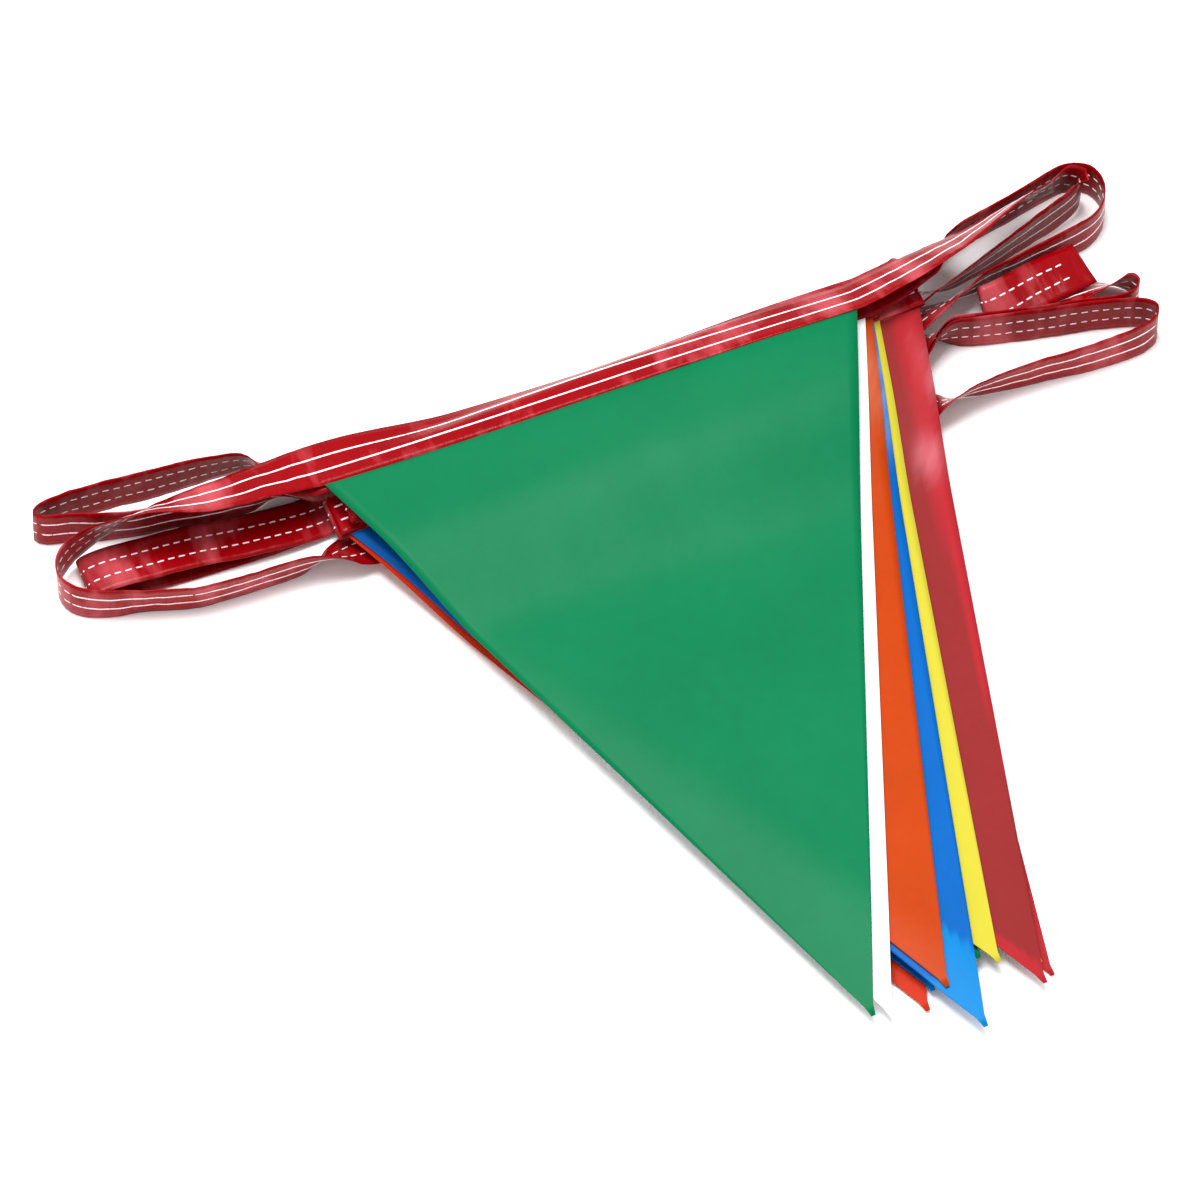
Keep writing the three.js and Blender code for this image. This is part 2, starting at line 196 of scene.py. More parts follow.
def sheenOver(tree, colour, sheenColour):
    # painted sheen: lighter streaks in another colour that stand in for glare and lit creases on the film
    place = tree.nodes.new("ShaderNodeTexCoord")
    stretch = tree.nodes.new("ShaderNodeMapping")
    stretch.vector_type = "TEXTURE"
    stretch.inputs["Rotation"].default_value = (0.0, 0.0, math.radians(filmSurface["streakAngle"]))
    stretch.inputs["Scale"].default_value = filmSurface["streakSize"]
    tree.links.new(place.outputs["Object"], stretch.inputs["Vector"])
    streaks = addNode(tree, "ShaderNodeTexNoise", Scale=1.0, Detail=2.0, Roughness=0.5)
    tree.links.new(stretch.outputs[0], streaks.inputs["Vector"])
    spread = addNode(tree, "ShaderNodeMapRange", **{
        "From Min": filmSurface["streakFrom"],
        "From Max": filmSurface["streakTo"],
        "To Min": filmSurface["betweenStreaks"],
    })
    tree.links.new(streaks.outputs[0], spread.inputs["Value"])
    sheen = attributeNode(tree, "sheen")
    factor = mathNode(tree, "MULTIPLY", sheen.outputs["Fac"], spread.outputs[0])
    return mixColours(tree, factor, colour, linear(sheenColour))


def filmMaterial(name, look):
    # one colour where the film lies over other film and a brighter one where only the floor is beneath:
    # painted light shining through the film from the floor
    material, tree, shader = principled(name, filmSurface["roughness"], filmSurface["specular"])
    mottle = mottledBy(tree, look.get("scale", filmSurface["mottleScale"]),
                       look.get("strength", filmSurface["mottleStrength"]))
    # painted through-light: mix towards the floor-lit colour where no film lies beneath
    bare = attributeNode(tree, "bare")
    colour = mixColours(tree, bare.outputs["Fac"], linear(look["colour"]),
                        linear(look.get("floorLitColour", look["colour"])))
    # painted highlight: lighter streaks of the sheen colour
    if "sheenColour" in look:
        colour = sheenOver(tree, colour, look["sheenColour"])
    shaded = scaledColour(tree, colour, mottle.outputs["Shade"])
    tree.links.new(shaded, shader.inputs["Base Color"])
    bumpInto(tree, shader, mottle.outputs["Height"], filmSurface["bumpStrength"], filmSurface["bumpDepth"])
    return material


film = {
    "width": 228.6,
    "length": 304.8,
    "thickness": 0.34,
    "tipHalfWidth": 0.8,
    "tucked": 3.0,
    "columns": 44,
    "rows": 64,
    "wave": 0.3,
    "waves": [(46, 60, 3.7, 1.0), (17, 31, 5.1, 0.5)],
    "calmUnder": 0.07,
    "bareEdge": 0.6,
    "sheenCore": 0.2,
}

# floorLitColour is painted light through the film where only the floor lies beneath; colour is the darker look
# over other film
# sheenColour is the colour of a painted highlight
filmLooks = {
    "green": {"colour": (2, 104, 64), "strength": 0.4, "scale": 16.0},
    "white": {"colour": (240, 240, 240), "strength": 0.05},
    "orange": {"colour": (163, 54, 4), "floorLitColour": (167, 57, 6), "sheenColour": (190, 112, 84)},
    "blue": {"colour": (0, 84, 158), "floorLitColour": (2, 112, 176), "sheenColour": (118, 148, 192)},
    "yellow": {"colour": (181, 172, 50), "strength": 0.16},
    "red": {
        "colour": (126, 36, 37), "floorLitColour": (155, 33, 40), "strength": 0.3,
        "sheenColour": (190, 106, 116),
    },
    "orangeRed": {"colour": (177, 41, 15)},
}

# Places with a painted sheen, a painted highlight of glare and lit creases: x and y of the middle, radius
# along x and along y, and how much
sheens = {
    "pennant_03_orange": [(106, -52, 16, 34, 0.7)],
    "pennant_04_blue": [(104, -48, 22, 44, 0.9)],
    "pennant_06_red": [(127, -50, 9, 26, 1.0), (112, -82, 10, 16, 0.6)],
}

# Pennants from the top of the stack down: x and y of the top edge's centre, turn in degrees, tip
pennants = [
    {"name": "pennant_01_green", "look": "green", "x": -1.9, "y": -2.2, "turn": -0.6, "tip": (-0.3, -300)},
    {"name": "pennant_02_white", "look": "white", "x": 2, "y": -2.5, "turn": 0.3, "tip": (6, -302.5)},
    {"name": "pennant_03_orange", "look": "orange", "x": 4, "y": -9.7, "turn": 4, "tip": (28.7, -300)},
    {"name": "pennant_04_blue", "look": "blue", "x": 4.5, "y": -9.7, "turn": 4, "tip": (35.7, -320)},
    {"name": "pennant_05_yellow", "look": "yellow", "x": 7, "y": -9.5, "turn": 4, "tip": (50.7, -296.5)},
    {"name": "pennant_06_red", "look": "red", "x": 24, "y": -8.3, "turn": 4, "tip": (63.5, -309.5)},
    {"name": "pennant_07_green", "look": "green", "x": 8, "y": -9.4, "turn": 4, "tip": (45, -291)},
    {"name": "pennant_08_white", "look": "white", "x": 14, "y": -9, "turn": 4, "tip": (65, -300.5)},
    {"name": "pennant_09_blue", "look": "blue", "x": 0.5, "y": -9.95, "turn": 4, "tip": (25, -296)},
    {"name": "pennant_10_orange", "look": "orangeRed", "x": -0.5, "y": -10.02, "turn": 4, "tip": (20.6, -302)},
    {"name": "pennant_11_yellow", "look": "yellow", "x": 12, "y": -9.2, "turn": 4, "tip": (66.5, -298)},
    {"name": "pennant_12_red", "look": "red", "x": 12, "y": -9.2, "turn": 4, "tip": (69, -304)},
]

# Heights at mid-thickness, where the shelf of tape begins and ends, how the film comes down
# from sheets beside it, and how the top tape leans and lifts its film
stack = {
    "floorSheet": 0.5,
    "underStack": 6.9,
    "layerPitch": 1.3,
    "tapePitch": 1.56,
    "shelfFrom": -100,
    "shelfTo": -46,
    "spreadFrom": 14,
    "spreadTo": 60,
    "leanMost": 25,
    "leanFrom": -90,
    "leanTo": 100,
    "liftFrom": -24,
    "liftTo": -120,
}

tapeWidth = 19.0
seat = 0.3


def outlineOf(row):
    along = Vector((math.cos(math.radians(row["turn"])), math.sin(math.radians(row["turn"]))))
    down = Vector((along.y, -along.x))
    top = Vector((row["x"], row["y"]))
    start = top + down * (tapeWidth + seat)
    tip = Vector(row["tip"])
    reach = (tip - start).length
    return {
        "along": along, "down": down, "top": top, "start": start, "tip": tip, "reach": reach,
        "lean": tip - start - down * reach,
        "half": film["width"] / 2 * (1 - (tapeWidth + seat) / film["length"]),
    }


outlines = [outlineOf(row) for row in pennants]


def pennantPoint(shape, u, v):
    centre = shape["start"] + shape["down"] * (shape["reach"] * v) + shape["lean"] * max(v, 0.0)
    return centre + shape["along"] * (max(shape["half"] * (1 - v), film["tipHalfWidth"]) * u)


def distanceOutside(shape, x, y):
    dx, dy = x - shape["top"].x, y - shape["top"].y
    across = dx * shape["along"].x + dy * shape["along"].y
    below = dx * shape["down"].x + dy * shape["down"].y
    v = min(max((below - tapeWidth) / shape["reach"], 0.0), 1.0)
    drift = shape["lean"].dot(shape["along"]) * v
    sides = abs(across - drift) - shape["half"] * (1 - v) - (0 if v > 0 else tapeWidth / 4)
    ends = max(-below, below - tapeWidth - shape["reach"])
    return max(sides * 0.92, ends)


def layerHeight(k, x, y):
    shelf = smooth(y, stack["shelfFrom"], stack["shelfTo"])
    pitch = stack["layerPitch"] + (stack["tapePitch"] - stack["layerPitch"]) * shelf
    height = stack["floorSheet"] + stack["underStack"] * shelf
    for shape in outlines[k + 1:]:
        outside = smooth(distanceOutside(shape, x, y), stack["spreadFrom"], stack["spreadTo"])
        height += pitch * (1 - outside * (1 - shelf))
    return height


def meshObject(name, points, faces, material):
    mesh = bpy.data.meshes.new(name)
    mesh.from_pydata([((p - middle) * mm)[:] for p in points], [], faces)
    mesh.materials.append(material)
    mesh.polygons.foreach_set("use_smooth", [True] * len(mesh.polygons))
    mesh.update()
    made = bpy.data.objects.new(name, mesh)
    bpy.context.collection.objects.link(made)
    return made


def closedSheet(grid, normals, halfThickness):
    # both faces of a sheet and the narrow rim between them
    rows, columns = len(grid), len(grid[0])
    cells = [(i, j) for i in range(rows) for j in range(columns)]
    points = [grid[i][j] + normals[i][j] * halfThickness[i][j] for i, j in cells]
    points += [grid[i][j] - normals[i][j] * halfThickness[i][j] for i, j in cells]
    back = rows * columns
    faces = []

    def at(i, j):
        return i * columns + j

    for i in range(rows - 1):
        for j in range(columns - 1):
            a, b, c, d = at(i, j), at(i, j + 1), at(i + 1, j + 1), at(i + 1, j)
            faces.append((a, b, c, d))
            faces.append((back + a, back + d, back + c, back + b))
    rim = [at(0, j) for j in range(columns - 1)]
    rim += [at(i, columns - 1) for i in range(rows - 1)]
    rim += [at(rows - 1, j) for j in range(columns - 1, 0, -1)]
    rim += [at(i, 0) for i in range(rows - 1, 0, -1)]
    for n, a in enumerate(rim):
        b = rim[(n + 1) % len(rim)]
        faces.append((b, a, back + a, back + b))
    return points, faces


def leanAt(k, x):
    # how far the tape over a pennant leans, only on the top one
    if k > 0:
        return 0.0
    return math.radians(stack["leanMost"]) * smooth(x, stack["leanFrom"], stack["leanTo"])


def liftAt(k, x, y):
    # how far the leaning tape lifts the film below it
    return tapeWidth * math.sin(leanAt(k, x)) * smooth(y, stack["liftTo"], stack["liftFrom"])


def filmHeight(k, x, y, v):
    # the layer's height with soft waves, calm at the tape; the tucked part follows the tape's lean
    height = layerHeight(k, x, y) + liftAt(k, x, y)
    height += min(v, 0.0) * outlines[k]["reach"] * math.tan(leanAt(k, x))
    wave = 0.0
    for lengthX, lengthY, apart, amount in film["waves"]:
        wave += amount * noise.noise(Vector((x / lengthX, y / lengthY, k * apart)))
    height += film["wave"] * wave * smooth(v, 0.0, film["calmUnder"])
    return max(height, stack["floorSheet"] * 0.5)


filmMaterials = {name: filmMaterial("film_" + name, look) for name, look in filmLooks.items()}


# strength of the painted sheen, a painted highlight, at a point of the film
def sheenAt(name, x, y):
    most = 0.0
    for centreX, centreY, radiusX, radiusY, amount in sheens.get(name, []):
        away = math.hypot((x - centreX) / radiusX, (y - centreY) / radiusY)
        most = max(most, amount * (1 - smooth(away, film["sheenCore"], 1.0)))
    return most


def buildPennant(k, row):
    shape = outlines[k]
    grid, bareness, sheen = [], [], []
    first = -film["tucked"] / shape["reach"]
    for i in range(film["rows"] + 1):
        v = first + (1 - first) * i / film["rows"]
        points = []
        for j in range(film["columns"] + 1):
            p = pennantPoint(shape, 1 - 2 * j / film["columns"], v)
            points.append(Vector((p.x, p.y, filmHeight(k, p.x, p.y, v))))
            # how bare the point is, for the painted light through the film where only the floor lies beneath
            beneath = [distanceOutside(other, p.x, p.y) for other in outlines[k + 1:]]
            edge = film["bareEdge"]
            bareness.append(smooth(min(beneath), -edge, edge) if beneath else 1.0)
            # strength of the painted highlight at this point
            sheen.append(sheenAt(row["name"], p.x, p.y))
        grid.append(points)
    up = [[Vector((0, 0, 1))] * len(points) for points in grid]
    thickness = [[film["thickness"] / 2] * len(points) for points in grid]
    points, faces = closedSheet(grid, up, thickness)
    made = meshObject(row["name"] + "_film", points, faces, filmMaterials[row["look"]])
    for name, values in (("bare", bareness), ("sheen", sheen)):
        layer = made.data.attributes.new(name, "FLOAT", "POINT")
        layer.data.foreach_set("value", values + values)
    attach(made, "root")
    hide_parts(row["name"])


for k, row in reversed(list(enumerate(pennants))):
    buildPennant(k, row)
print("pennants made:", len(pennants))


# Header tape: one strip folded over the pennants' top edges, with two rows of stitching

tape = {
    "thickness": 0.56,
    "edgeThickness": 0.44,
    "columns": 8,
    "sectionStep": 2.6,
    "wrinkle": 0.36,
    "foldMargin": 2.2,
    "foldRound": 0.9,
    "passReach": 109,
    "sag": 6.5,
    "sagReach": 12,
    "beneathAtMiddle": -10.5,
    "beneathSlope": 0.07,
    "sagAbove": 22.5,
    "sagWithin": 108,
    "sagLeft": (-104, -50),
    "sagRight": (30, 104),
    "creases": [(9, 16, 2.0, 1.0), (3.6, 9, 8.0, 0.6)],
    "creaseWhereSewn": 0.12,
    "looseFrom": 104,
    "looseTo": 122,
    "edgeBand": 2.6,
    "headingStep": 0.0001,
    "mostTwist": 6,
    "stopsAtEnds": (1.5, 9),
    "stopsBetween": (0.3, 0.5, 0.7),
}

# Parts of the tape outside the pennants: x, y, z of its centre, and the rise of its pennant edge
tapeRuns = {
    "underToFront": [
        (-97.8, -26.4, 7.1, 0), (-98, -26.4, 6.7, 0), (-97.8, -26.4, 6.3, 0), (-97.2, -26.4, 6, 0),
        (-95, -26.3, 6, 0), (-85, -26.2, 6, 0), (-60, -28, 6, 0), (-20, -38, 5.9, 0), (5, -46, 5.5, -3),
        (20, -51, 4.7, -3), (35, -54.5, 3.6, 0), (50, -56, 2.4, 0), (85, -56.2, 1.3, 0),
        (100, -56, 1.2, 0),
    ],
    "frontLoop": [
        (109, -56.5, 1.3, 1), (114.5, -56.8, 1.9, 4), (120.5, -57.4, 4.4, 22), (127.5, -58.2, 7.7, 48),
        (136, -58, 8.9, 64),
        (150, -58.4, 9.5, 76), (166, -59.2, 9.7, 82), (182, -60.2, 9.8, 86), (199, -60.5, 9.9, 90),
        (209, -59.3, 9.9, 90), (215, -56.5, 9.9, 90), (217, -52.8, 9.9, 90), (215, -49.6, 9.9, 90),
        (209, -46.5, 9.9, 90), (194, -42.3, 9.9, 90), (179, -39.7, 9.9, 90), (164, -36.5, 9.9, 90),
        (149, -33, 9.9, 89), (142, -30.9, 9.8, 84), (135, -30.5, 8.6, 60), (128, -31.6, 5.9, 35),
        (120, -33.1, 2.6, 12), (110, -33.8, 0.9, 3),
    ],
    "underToLeft": [
        (100, -34, 0.6, 1), (85, -33.5, 0.5, 0), (40, -30, 0.5, 0), (-40, -18, 0.5, 0),
        (-90, -15.5, 0.5, 0),
    ],
    "flatLoop": [
        (-101, -16, 0.5, 0), (-131, -17.7, 0.6, 0), (-163, -17.7, 1, 0), (-185, -16.9, 1.3, 0),
        (-197, -16.6, 2.2, 0), (-203, -16.6, 3.8, 0), (-205, -16.6, 6, 0), (-203, -16.6, 8.2, 0),
        (-197, -16.6, 9.5, 0), (-179, -17.2, 9.2, 0), (-163, -17.6, 8.4, 0), (-147, -18.6, 6.6, 0),
        (-131, -19.2, 5, 0), (-118, -19, 3.4, 0), (-108, -17.8, 2.4, 0), (-98, -16.2, 1.9, 0),
    ],
    "underToBack": [
        (-60, -14, 1.9, 0), (-40, -12.3, 1.9, 0), (-22, -11, 2.6, 0), (-5, -10, 4, 0),
        (10, -9, 4.65, 0), (40, -8.3, 4.65, 0), (85, -8.2, 4.65, 0),
    ],
    "backLoop": [
        (100, -8.2, 4.8, 0), (112, -8.4, 5.2, 0), (119, -8.6, 5.6, 0), (123, -8.8, 6.1, 2),
        (128, -9.2, 7.3, 14), (134, -9.7, 8.5, 34), (140, -9.9, 9.3, 51), (148, -9.6, 10, 66),
        (164, -5.3, 10, 77), (187, 1.6, 11, 86), (203, 6.6, 12, 90), (210, 10.2, 13, 90),
        (212.3, 13.8, 15, 90),
        (207, 16, 17.5, 82), (196, 12, 21.5, 68), (181, 7, 25.4, 57), (162, -1, 28, 45),
        (142, -6.8, 29, 34), (124, -10.6, 28.9, 27),
    ],
    "overLoop": [
        (-128, -11, 26, 12), (-155, -12, 28.2, 25), (-174, -9.7, 29, 48), (-182, -8.5, 26.8, 58),
        (-190, -6.5, 22.5, 68), (-198, -5.2, 17.4, 78), (-207, -6.8, 13, 86), (-213.2, -11.8, 11.5, 90),
        (-215, -18, 10.5, 90), (-212.5, -24.5, 10, 90), (-205, -30, 9.8, 88), (-185, -36, 9.6, 80),
        (-167, -41, 9.5, 79), (-136, -42, 9.4, 77), (-124, -41.9, 9.2, 72), (-115, -41.2, 7.9, 50),
        (-108, -40, 5.9, 24), (-101, -39, 4.8, 6), (-93, -38.4, 4.65, 0),
    ],
    "underToMiddle": [
        (-80, -38, 4.65, 0), (-20, -36, 4.65, 0), (20, -29, 3.4, 0), (60, -23, 3.3, 0),
        (88, -20.8, 3.3, 0),
    ],
    "wideLoop": [
        (100, -20.4, 3.3, 0), (112, -20.3, 3.6, 1), (120, -20.2, 4.5, 4), (124, -20, 5.3, 11),
        (129, -19.4, 6.9, 26),
        (134, -18.7, 8.2, 36), (141, -17.4, 9.3, 47), (149, -15.6, 9.9, 59), (160, -12.8, 9.9, 74),
        (168, -11.8, 9.9, 80), (186, -9.4, 9.9, 86), (203, -7, 9.9, 90), (211, -4.5, 9.9, 90),
        (217, 0.5, 9.9, 90), (220, 7, 9.9, 90), (220, 13.5, 9.9, 90), (216.5, 19, 9.9, 90),
        (209, 21.3, 9.9, 90), (198, 19.2, 9.9, 89), (183, 15.5, 9.9, 88), (168, 12, 9.9, 87),
        (158, 9.8, 9.9, 84), (150, 7.2, 10.3, 69), (142, 0.8, 16.4, 43), (134, -5, 22, 18),
        (124, -9, 23, 4),
    ],
    "farLoop": [
        (-111, -12.2, 22.3, 1), (-116, -9.4, 20.2, 14), (-123, 0.4, 16, 38), (-131, 7, 14.6, 72),
        (-150, 9.4, 15, 85), (-168, 11.7, 13, 90), (-187, 14, 11.5, 90), (-203, 14.8, 10.8, 90),
        (-212, 13.8, 10.2, 90), (-215, 11.2, 10, 90), (-211, 8.2, 9.9, 90), (-202, 5.8, 9.9, 90),
        (-191, 1.8, 9.9, 88), (-178, -1.3, 9.8, 86), (-166, -2.6, 9.8, 85), (-155, -4.7, 9.8, 85),
        (-140, -6.4, 9.8, 84),
        (-130, -7.8, 9.5, 72), (-121, -8, 7.6, 44), (-113, -7, 5, 17), (-104, -6.3, 3.5, 2),
        (-95, -7, 3.3, 0),
    ],
    "underToEnd": [
        (-70, -14, 3.3, 0), (-40, -30, 3.5, 0), (-24, -33.4, 3.3, 0), (-5, -34.5, 2.2, 0),
        (10, -34.5, 1.95, 0),
        (85, -34, 1.95, 0),
    ],
    "shortLoop": [
        (100, -34, 2.1, 1), (110, -33.4, 2.3, 3), (120, -32.3, 4.3, 13), (128, -30, 7.6, 36),
        (135, -28.5, 9.7, 60), (142, -28.9, 10, 84), (149, -31.3, 10, 89), (164, -34.9, 10, 90),
        (179, -38.1, 9.95, 90), (194, -40.8, 9.95, 90), (205, -43.2, 9.9, 90), (211.5, -43, 9.9, 90),
        (215, -39.5, 9.9, 90), (214, -34.5, 9.6, 74), (207, -31, 8.6, 53), (195, -28.3, 7.2, 32),
        (184, -27, 5.6, 15), (174, -25.5, 4.6, -8), (166, -24, 5.6, -26), (160, -23.2, 6.3, -37),
        (157, -23.9, 7.5, -38),
    ],
    "cutEnd": [
        (160, -25, 8.7, -38), (168, -24.6, 10.2, -28), (178, -22.8, 11.2, -17),
        (188, -21.3, 11.5, -12), (201, -19.2, 11, -6),
    ],
}


def passStation(k, along):
    shape = outlines[k]
    point = shape["top"] + shape["down"] * (tapeWidth / 2) + shape["along"] * along
    lean = leanAt(k, point.x)
    back = math.sin(lean) / 2 - tapeWidth / 2 * (1 - math.cos(lean))
    height = layerHeight(k, shape["top"].x, -20) + tapeWidth / 2 * math.sin(lean)
    return (point.x, point.y + back, height, math.degrees(lean))


def pennantPass(k, fromX, toX):
    start, end = fromX - outlines[k]["top"].x, toX - outlines[k]["top"].x
    ease = math.copysign(1, end - start)
    near, far = tape["stopsAtEnds"]
    stops = [start, start + ease * near, start + ease * far]
    stops += [start + (end - start) * part for part in tape["stopsBetween"]]
    stops += [end - ease * far, end - ease * near, end]
    return [passStation(k, along) for along in stops]


def turnBack(a, b, side):
    drop = a[2] - b[2]
    bulge = side * tape["foldRound"]
    return [
        (a[0] + bulge * 0.6, a[1], a[2] - drop * 0.2, 0),
        ((a[0] + b[0]) / 2 + bulge, (a[1] + b[1]) / 2, (a[2] + b[2]) / 2, 0),
        (b[0] + bulge * 0.6, b[1], b[2] + drop * 0.2, 0),
    ]


def foldedTape():
    # laid back and forth through the hidden pennants, from the third down to the last
    rows = []
    x = -(outlines[2]["half"] + tape["foldMargin"]) + outlines[2]["top"].x
    for k in range(2, len(pennants)):
        side = 1 if k % 2 == 0 else -1
        ends = [side * s["top"].x + s["half"] + tape["foldMargin"] for s in outlines[k:k + 2]]
        endX = side * max(ends)
        rows += pennantPass(k, x, endX)
        if k + 1 < len(pennants):
            rows += turnBack(rows[-1], pennantPass(k + 1, endX, 0)[0], side)
        x = endX
    return rows


def topPass(k):
    centre = outlines[k]["top"].x
    return pennantPass(k, centre + tape["passReach"], centre - tape["passReach"])


def tapeStations():
    order = ["underToFront", "frontLoop", "underToLeft", "flatLoop", "underToBack", "backLoop", topPass(0),
             "overLoop", "underToMiddle", "wideLoop", topPass(1), "farLoop", "underToEnd",
             "shortLoop", "cutEnd"]
    rows = foldedTape()
    for part in order:
        rows += tapeRuns[part] if isinstance(part, str) else part
    return rows


stations = tapeStations()
spots = [Vector(row[:3]) for row in stations]


def curvePoint(t):
    # centripetal curve through the stations
    place = min(max(t, 0.0), 1.0) * (len(spots) - 1)
    i = min(int(place), len(spots) - 2)
    w = place - i
    p1, p2 = spots[i], spots[i + 1]
    p0 = spots[i - 1] if i > 0 else p1 * 2 - p2
    p3 = spots[i + 2] if i + 2 < len(spots) else p2 * 2 - p1
    d0, d1, d2 = (math.sqrt((b - a).length) for a, b in ((p0, p1), (p1, p2), (p2, p3)))
    d1 = 1.0 if d1 < 1e-4 else d1
    d0 = d1 if d0 < 1e-4 else d0
    d2 = d1 if d2 < 1e-4 else d2
    m1 = ((p1 - p0) / d0 - (p2 - p0) / (d0 + d1) + (p2 - p1) / d1) * d1
    m2 = ((p2 - p1) / d1 - (p3 - p1) / (d1 + d2) + (p3 - p2) / d2) * d1
    c2 = p1 * -3 + p2 * 3 - m1 * 2 - m2
    c3 = p1 * 2 - p2 * 2 + m1 + m2
    return p1 + m1 * w + c2 * (w * w) + c3 * (w * w * w)


def riseAt(i, f):
    spans = len(stations) - 1
    r = [stations[min(max(n, 0), spans)][3] for n in (i - 1, i, i + 1, i + 2)]
    startSlope, endSlope = (r[2] - r[0]) / 2, (r[3] - r[1]) / 2
    return ((2 * f ** 3 - 3 * f * f + 1) * r[1] + (f ** 3 - 2 * f * f + f) * startSlope
            + (3 * f * f - 2 * f ** 3) * r[2] + (f ** 3 - f * f) * endSlope)


def tapeSection(i, f):
    spans = len(stations) - 1
    t = (i + f) / spans
    centre = curvePoint(t)
    step = tape["headingStep"]
    heading = (curvePoint(t + step) - curvePoint(t - step)).normalized()
    rise = math.radians(riseAt(i, f))
    edge = Vector((0, -math.cos(rise), math.sin(rise)))
    edge = (edge - heading * edge.dot(heading)).normalized()
    face = heading.cross(edge)
    lowest = (tapeWidth * abs(edge.z) + abs(face.z)) / 2
    centre.z = max(centre.z, lowest)
    return centre, edge, face


def tapeSections():
    sections = []
    for i in range(len(stations) - 1):
        length = (spots[i + 1] - spots[i]).length
        twist = abs(stations[i + 1][3] - stations[i][3])
        steps = max(1, math.ceil(length / tape["sectionStep"]), math.ceil(twist / tape["mostTwist"]))
        sections += [tapeSection(i, n / steps) for n in range(steps)]
    sections.append(tapeSection(len(stations) - 2, 1.0))
    return sections


sections = tapeSections()
lengths = [0.0]
for (a, _, _), (b, _, _) in zip(sections, sections[1:]):
    lengths.append(lengths[-1] + (b - a).length)
print("tape length, mm:", round(lengths[-1]), "sections:", len(sections))


def placeOnTape(s):
    # section of the tape at a length along it
    low, high = 0, len(lengths) - 1
    while high - low > 1:
        half = (low + high) // 2
        low, high = (half, high) if lengths[half] <= s else (low, half)
    f = (s - lengths[low]) / max(lengths[high] - lengths[low], 1e-6)
    parts = [a.lerp(b, f) for a, b in zip(sections[low], sections[high])]
    return parts[0], parts[1].normalized(), parts[2].normalized()


def sagAt(centre, across):
    # the top passes' far edge hangs down where no tape lies beneath it
    if centre.z < tape["sagAbove"] or abs(centre.x) > tape["sagWithin"]:
        return 0.0
    beneath = tape["beneathAtMiddle"] + tape["beneathSlope"] * centre.x
    overhang = smooth(centre.y - across, beneath, beneath + tape["sagReach"])
    fromLeft = smooth(centre.x, *tape["sagLeft"])
    return tape["sag"] * overhang * fromLeft * (1 - smooth(centre.x, *tape["sagRight"]))


def wrinkleAt(s, across):
    # cross creases, nearly flat where pennants are sewn in, less the far edge's sag
    creases = 0.0
    for lengthAlong, lengthAcross, apart, amount in tape["creases"]:
        creases += amount * noise.noise(Vector((s / lengthAlong, across / lengthAcross, apart)))
    centre = placeOnTape(s)[0]
    loose = smooth(abs(centre.x), tape["looseFrom"], tape["looseTo"])
    kept = tape["creaseWhereSewn"] + (1 - tape["creaseWhereSewn"]) * loose
    return tape["wrinkle"] * creases * kept - sagAt(centre, across)


def buildTape(material):
    grid, normals, thickness = [], [], []
    for (centre, edge, face), s in zip(sections, lengths):
        row, rowThickness = [], []
        for j in range(tape["columns"] + 1):
            across = tapeWidth / 2 * (1 - 2 * j / tape["columns"])
            row.append(centre + edge * across + face * wrinkleAt(s, across))
            atEdge = smooth(abs(across), tapeWidth / 2 - tape["edgeBand"], tapeWidth / 2)
            whole = tape["thickness"] + (tape["edgeThickness"] - tape["thickness"]) * atEdge
            rowThickness.append(whole / 2)
        grid.append(row)
        normals.append([face] * len(row))
        thickness.append(rowThickness)
    points, faces = closedSheet(grid, normals, thickness)
    made = meshObject("header_tape_vinyl", points, faces, material)
    layer = made.data.attributes.new("alongTape", "FLOAT_VECTOR", "POINT")
    values = []
    for _ in range(2):
        for s in lengths:
            for j in range(tape["columns"] + 1):
                values += [s * mm, tapeWidth * mm * j / tape["columns"], 0.0]
    layer.data.foreach_set("vector", values)
    return made


tapeSurface = {
    "roughness": 0.3,
    "specular": 0.08,
    "coat": 0.03,
    "coatRoughness": 0.14,
    "colour": (130, 0, 7),
    # pink painted highlight patches on the vinyl, in place of lit creases
    "paintedHighlightColour": (196, 84, 92),
    "stretch": (1.0, 0.35, 1.0),
    "creaseScale": 150.0,
    "highlightScale": 34.0,
    "highlightFrom": 0.5,
    "highlightTo": 0.64,
    "highlightMost": 0.6,
    # strong mottling on the vinyl: random tone and also painted light and shade patches of its creases
    "mottleScale": 48.0,
    "mottleStrength": 0.9,
    "bumpStrength": 0.6,
    "bumpDepth": 0.0012,
}


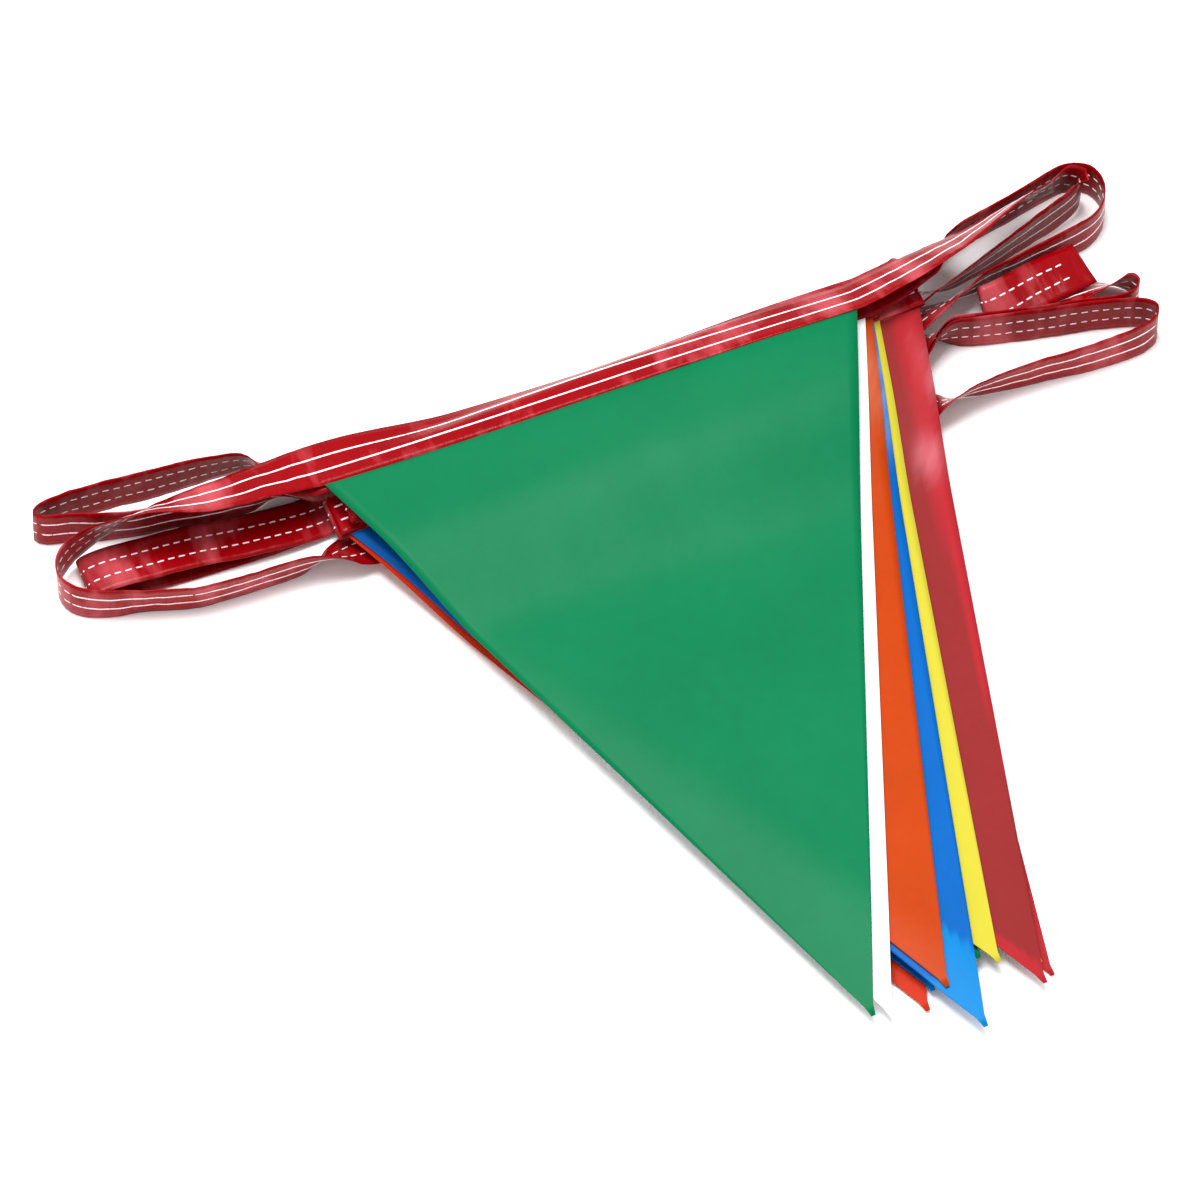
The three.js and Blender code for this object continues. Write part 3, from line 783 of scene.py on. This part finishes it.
def tapeMaterial():
    look = tapeSurface
    material, tree, shader = principled("vinylRed", look["roughness"], look["specular"],
                                        look["coat"], look["coatRoughness"])
    place = attributeNode(tree, "alongTape")
    stretch = tree.nodes.new("ShaderNodeMapping")
    stretch.inputs["Scale"].default_value = look["stretch"]
    tree.links.new(place.outputs["Vector"], stretch.inputs["Vector"])
    creases = addNode(tree, "ShaderNodeTexNoise", Scale=look["creaseScale"], Detail=3.0, Roughness=0.5)
    tree.links.new(stretch.outputs[0], creases.inputs["Vector"])
    # mottling here is random tone and also painted light and shade on the creased vinyl
    mottle = mottledBy(tree, look["mottleScale"], look["mottleStrength"])
    # painted highlight: pink patches by noise, mixed into the red
    highlightPatches = addNode(tree, "ShaderNodeTexNoise", Scale=look["highlightScale"], Detail=4.0, Roughness=0.6)
    tree.links.new(stretch.outputs[0], highlightPatches.inputs["Vector"])
    shine = addNode(tree, "ShaderNodeMapRange", **{
        "From Min": look["highlightFrom"],
        "From Max": look["highlightTo"],
        "To Max": look["highlightMost"],
    })
    tree.links.new(highlightPatches.outputs[0], shine.inputs["Value"])
    colour = mixColours(tree, shine.outputs[0], linear(look["colour"]), linear(look["paintedHighlightColour"]))
    shaded = scaledColour(tree, colour, mottle.outputs["Shade"])
    tree.links.new(shaded, shader.inputs["Base Color"])
    bumpInto(tree, shader, creases.outputs[0], look["bumpStrength"], look["bumpDepth"])
    return material


tapeBody = buildTape(tapeMaterial())
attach(tapeBody, "root")
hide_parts("header_tape")
print("tape made")


# Two rows of white lockstitch on each face of the tape

stitching = {
    "rowOffset": 3.18,
    "pitch": 4.2,
    "facingLength": 4.5,
    "backLength": 2.6,
    "facingWidth": 0.9,
    "backWidth": 0.72,
    "backShift": 0.6,
    "height": 0.17,
    "sunk": 0.03,
    "endMargin": 4,
    "ring": [(-1, 0.0), (-0.55, 0.8), (0.55, 0.8), (1, 0.0)],
    "profile": [(0.0, 0.6), (0.12, 1.0), (0.88, 1.0), (1.0, 0.6)],
}

threadSurface = {
    "roughness": 0.55,
    "specular": 0.4,
    "colour": (246, 232, 236),
    "mottleScale": 400.0,
    "mottleStrength": 0.3,
    "bumpStrength": 0.4,
    "bumpDepth": 0.0003,
}


def addStitch(points, faces, across, side, start, length, width):
    base = len(points)
    for t, size in stitching["profile"]:
        s = start + length * t
        centre, edge, face = placeOnTape(s)
        raised = wrinkleAt(s, across) + side * tape["thickness"] / 2
        threadMiddle = centre + edge * across + face * raised
        for a, h in stitching["ring"]:
            out = side * (h * stitching["height"] * size - stitching["sunk"])
            points.append(threadMiddle + edge * (a * width / 2 * size) + face * out)
    for r in range(3):
        for c in range(4):
            a, b = base + r * 4 + c, base + r * 4 + (c + 1) % 4
            quad = (a, b, b + 4, a + 4)
            faces.append(quad if side > 0 else quad[::-1])
    caps = [(base + 3, base + 2, base + 1, base), tuple(base + 12 + c for c in range(4))]
    faces += caps if side > 0 else [cap[::-1] for cap in caps]


def buildStitching(material):
    points, faces = [], []
    count = int((lengths[-1] - 2 * stitching["endMargin"]) / stitching["pitch"])
    for n in range(count):
        start = stitching["endMargin"] + n * stitching["pitch"]
        for row in (-1, 1):
            across = row * stitching["rowOffset"]
            addStitch(points, faces, across, 1, start,
                      stitching["facingLength"], stitching["facingWidth"])
            addStitch(points, faces, across, -1, start + stitching["backShift"],
                      stitching["backLength"], stitching["backWidth"])
    return meshObject("header_stitching", points, faces, material)


def threadMaterial():
    look = threadSurface
    material, tree, shader = principled("threadWhite", look["roughness"], look["specular"])
    mottle = mottledBy(tree, look["mottleScale"], look["mottleStrength"])
    shaded = scaledColour(tree, linear(look["colour"]), mottle.outputs["Shade"])
    tree.links.new(shaded, shader.inputs["Base Color"])
    bumpInto(tree, shader, mottle.outputs["Height"], look["bumpStrength"], look["bumpDepth"])
    return material


stitches = buildStitching(threadMaterial())
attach(stitches, "root")
print("stitching made")


# Floor, light and camera

room = {
    "floorSize": 8.0,
    "floorBelow": 0.0002,
    "floorRoughness": 0.7,
    "floorSpecular": 0.2,
    "floorColour": (252, 252, 252),
    "worldColour": (1.0, 1.0, 1.0),
    "worldStrength": 0.8,
    "keyPower": 78.0,
    "keyPlace": (-0.2, 0.3, 2.4),
    "keySize": 1.1,
    "fillPower": 3.0,
    "fillPlace": (-1.5, 0.9, 2.0),
    "fillSize": 1.6,
}


def makeFloor():
    bpy.ops.mesh.primitive_plane_add(size=room["floorSize"], location=(0, 0, -room["floorBelow"]))
    floor = bpy.context.object
    floor.name = "floor"
    material, _, shader = principled("paleFloor", room["floorRoughness"], room["floorSpecular"])
    shader.inputs["Base Color"].default_value = linear(room["floorColour"])
    floor.data.materials.append(material)


def areaLight(name, place, size, power):
    data = bpy.data.lights.new(name, "AREA")
    data.size = size
    data.energy = power
    lamp = bpy.data.objects.new(name, data)
    lamp.location = place
    lamp.rotation_euler = (Vector((0, 0, 0)) - Vector(place)).to_track_quat("-Z", "Y").to_euler()
    bpy.context.collection.objects.link(lamp)


makeFloor()
areaLight("keyLight", room["keyPlace"], room["keySize"], room["keyPower"])
areaLight("fillLight", room["fillPlace"], room["fillSize"], room["fillPower"])
world = bpy.data.worlds.new("studio")
world.use_nodes = True
world.node_tree.nodes["Background"].inputs[0].default_value = (*room["worldColour"], 1.0)
world.node_tree.nodes["Background"].inputs[1].default_value = room["worldStrength"]
bpy.context.scene.world = world
bpy.context.scene.view_settings.view_transform = "Standard"

view = {
    "azimuth": -21.14,
    "elevation": 56.32,
    "distance": 3380.0,
    "target": (-25.8, -90.4, 0.0),
    "lens": 270.0,
}

azimuth, elevation = math.radians(view["azimuth"]), math.radians(view["elevation"])
towards = Vector((
    math.sin(azimuth) * math.cos(elevation),
    -math.cos(azimuth) * math.cos(elevation),
    math.sin(elevation),
))
camera = bpy.data.objects.new("camera", bpy.data.cameras.new("camera"))
camera.data.lens = view["lens"]
camera.data.sensor_width = 36.0
camera.data.clip_end = 30.0
camera.location = (Vector(view["target"]) - middle + towards * view["distance"]) * mm
camera.rotation_euler = towards.to_track_quat("Z", "Y").to_euler()
bpy.context.collection.objects.link(camera)
bpy.context.scene.camera = camera
print("light and camera set")
